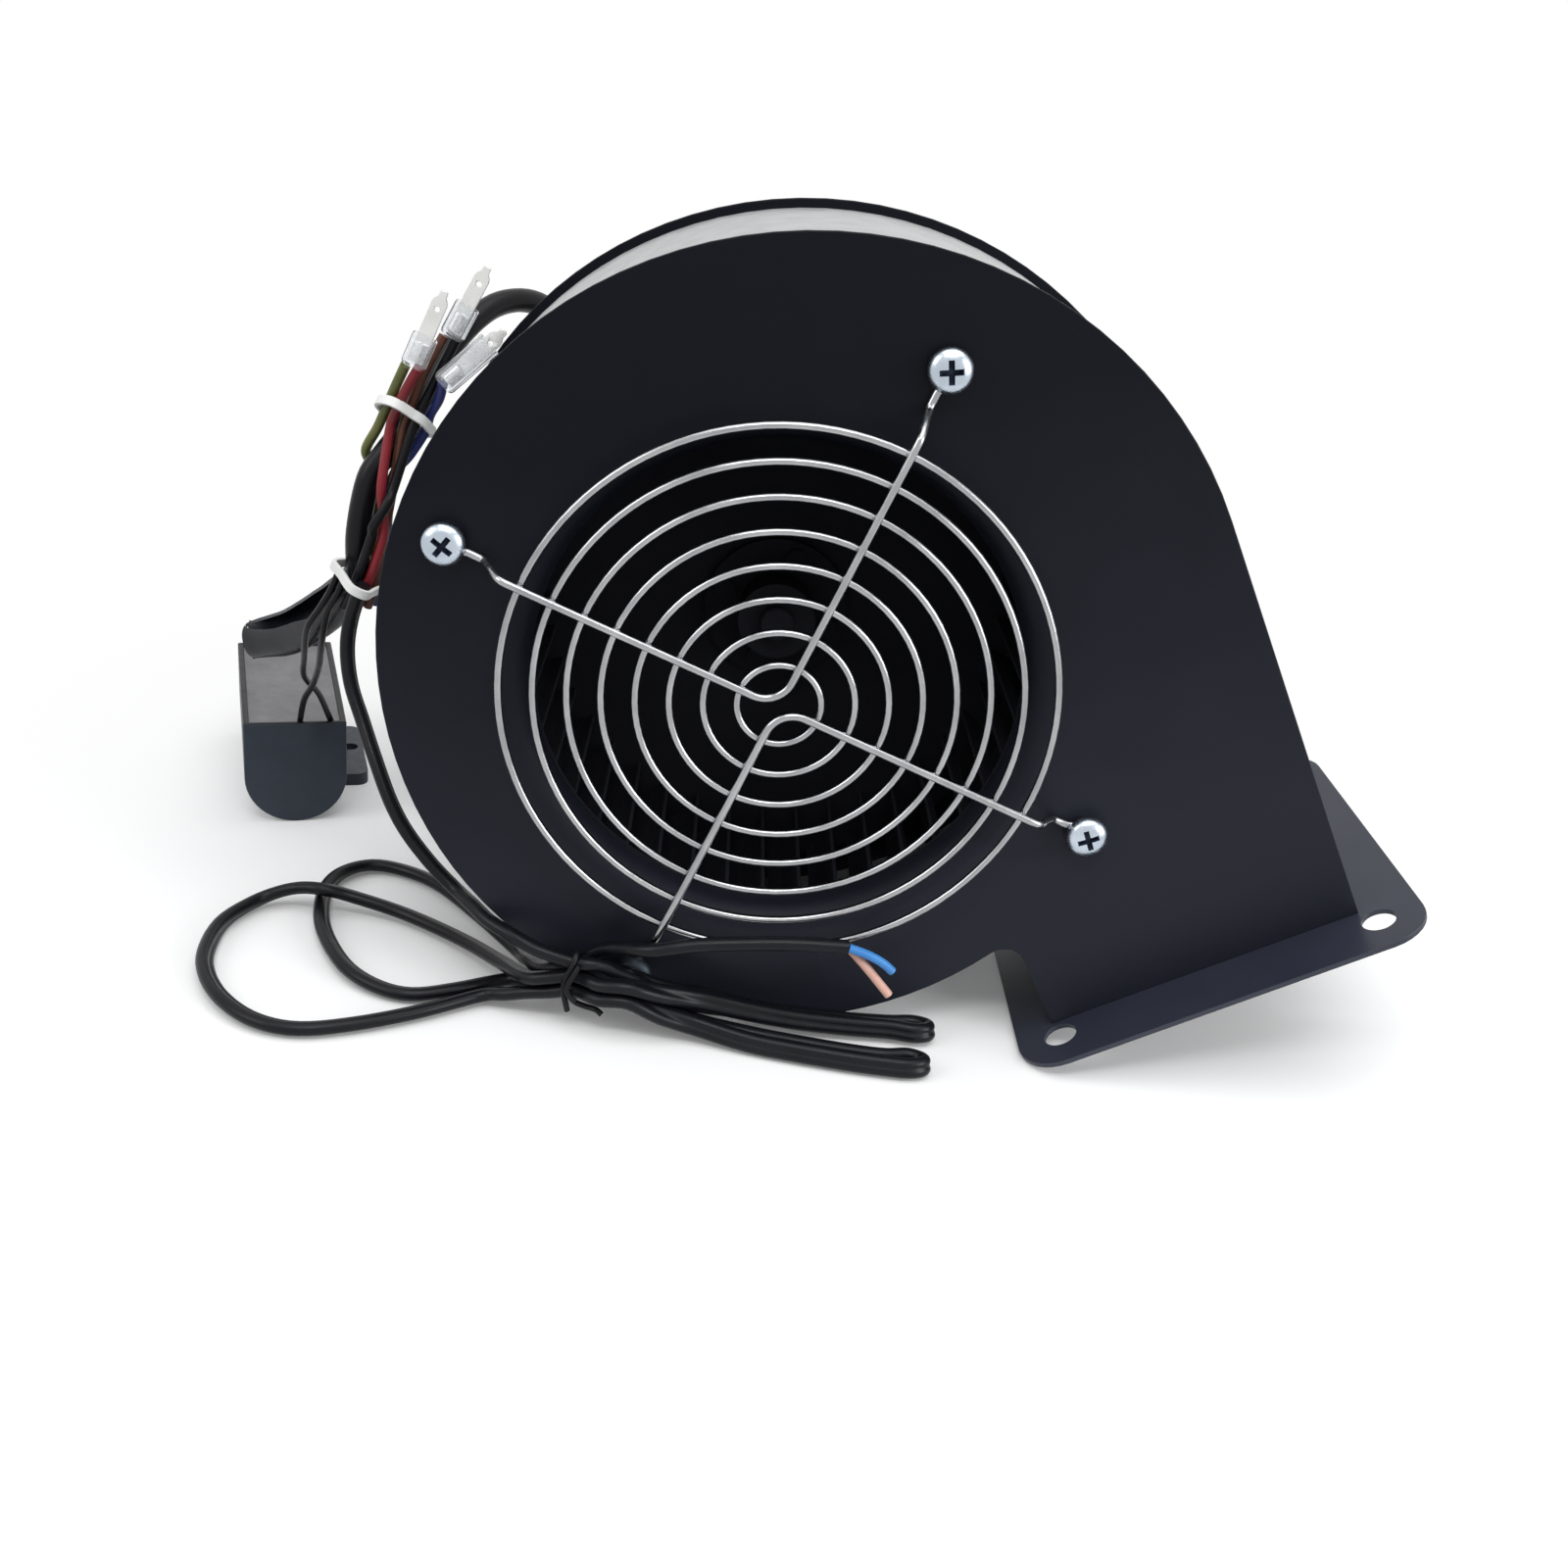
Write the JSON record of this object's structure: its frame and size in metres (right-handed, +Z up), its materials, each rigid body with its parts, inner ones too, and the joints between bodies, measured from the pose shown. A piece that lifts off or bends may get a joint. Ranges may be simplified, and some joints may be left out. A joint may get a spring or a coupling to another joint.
{
  "type": "centrifugal fan",
  "caption": "Small scroll-cased centrifugal fan with a wire inlet guard, square outlet flange, forward-curved impeller, rear motor and loose wiring with capacitor.",
  "frame": {"origin": "middle of the fan's bounding box without its loose wiring, on the floor it stands on", "axes": "+X to the right towards the outlet, +Y to the back along the shaft towards the motor, +Z up"},
  "size_m": [0.296, 0.163, 0.1726],
  "materials": {
    "black_coat": "satin",
    "galvanised": "satin",
    "zinc_wire": "bright",
    "zinc_screw": "bright",
    "impeller_coat": "satin",
    "hub_alloy": "turned",
    "cover_alloy": "cast",
    "shell_coat": "satin",
    "lamination": "ground",
    "copper": "enamelled",
    "cast_bars": "cast",
    "ground_steel": "ground",
    "grommet_rubber": "matt",
    "black_pvc": "satin",
    "white_nylon": "satin",
    "earth_pvc": "satin",
    "red_pvc": "satin",
    "brown_pvc": "satin",
    "blue_pvc": "satin",
    "light_blue_pvc": "satin",
    "tinned_brass": "bright",
    "clear_sleeve": "clear",
    "capacitor_shell": "moulded",
    "epoxy": "cast"
  },
  "bodies": {
    "casing": {"front_plate": "black_coat", "scroll_band": "galvanised", "rear_plate": "black_coat", "outlet_flange": "black_coat", "guard_rings": "zinc_wire", "guard_spokes": "zinc_wire", "guard_screws": "zinc_screw", "motor_front_cover": "cover_alloy", "motor_shell": "shell_coat", "motor_rear_cover": "cover_alloy", "motor_bolts": "zinc_screw", "motor_mount_screws": "zinc_screw", "stator_core": "lamination", "stator_windings": "copper", "bearing_outer_rings": "ground_steel", "bearing_balls": "ground_steel", "cable_grommet": "grommet_rubber", "motor_sleeve": "black_pvc", "harness_boot": "black_pvc", "cable_ties": "white_nylon", "lead_earth": "earth_pvc", "lead_red": "red_pvc", "lead_brown": "brown_pvc", "lead_black": "black_pvc", "lead_blue": "blue_pvc", "spade_terminals": "tinned_brass", "terminal_sleeves": "clear_sleeve", "capacitor_case": "capacitor_shell", "capacitor_fill": "epoxy", "capacitor_lead_left": "black_pvc", "capacitor_lead_right": "black_pvc", "power_cord": "black_pvc", "cord_tie": "black_pvc", "core_blue": "light_blue_pvc", "core_brown": "brown_pvc"},
    "rotor": {"impeller_blades": "impeller_coat", "impeller_front_ring": "impeller_coat", "impeller_back_disc": "impeller_coat", "impeller_hub": "hub_alloy", "hub_rivets": "zinc_screw", "hub_grub_screw": "ground_steel", "rotor_core": "lamination", "rotor_end_rings": "cast_bars", "motor_shaft": "ground_steel", "bearing_inner_rings": "ground_steel"}
  },
  "joints": [
    {"name": "impeller_spin", "type": "hinge", "parent": "casing", "child": "rotor", "pos_m": [-0.03121, 0, 0.08036], "axis": [0, 1, 0], "continuous": true}
  ]
}
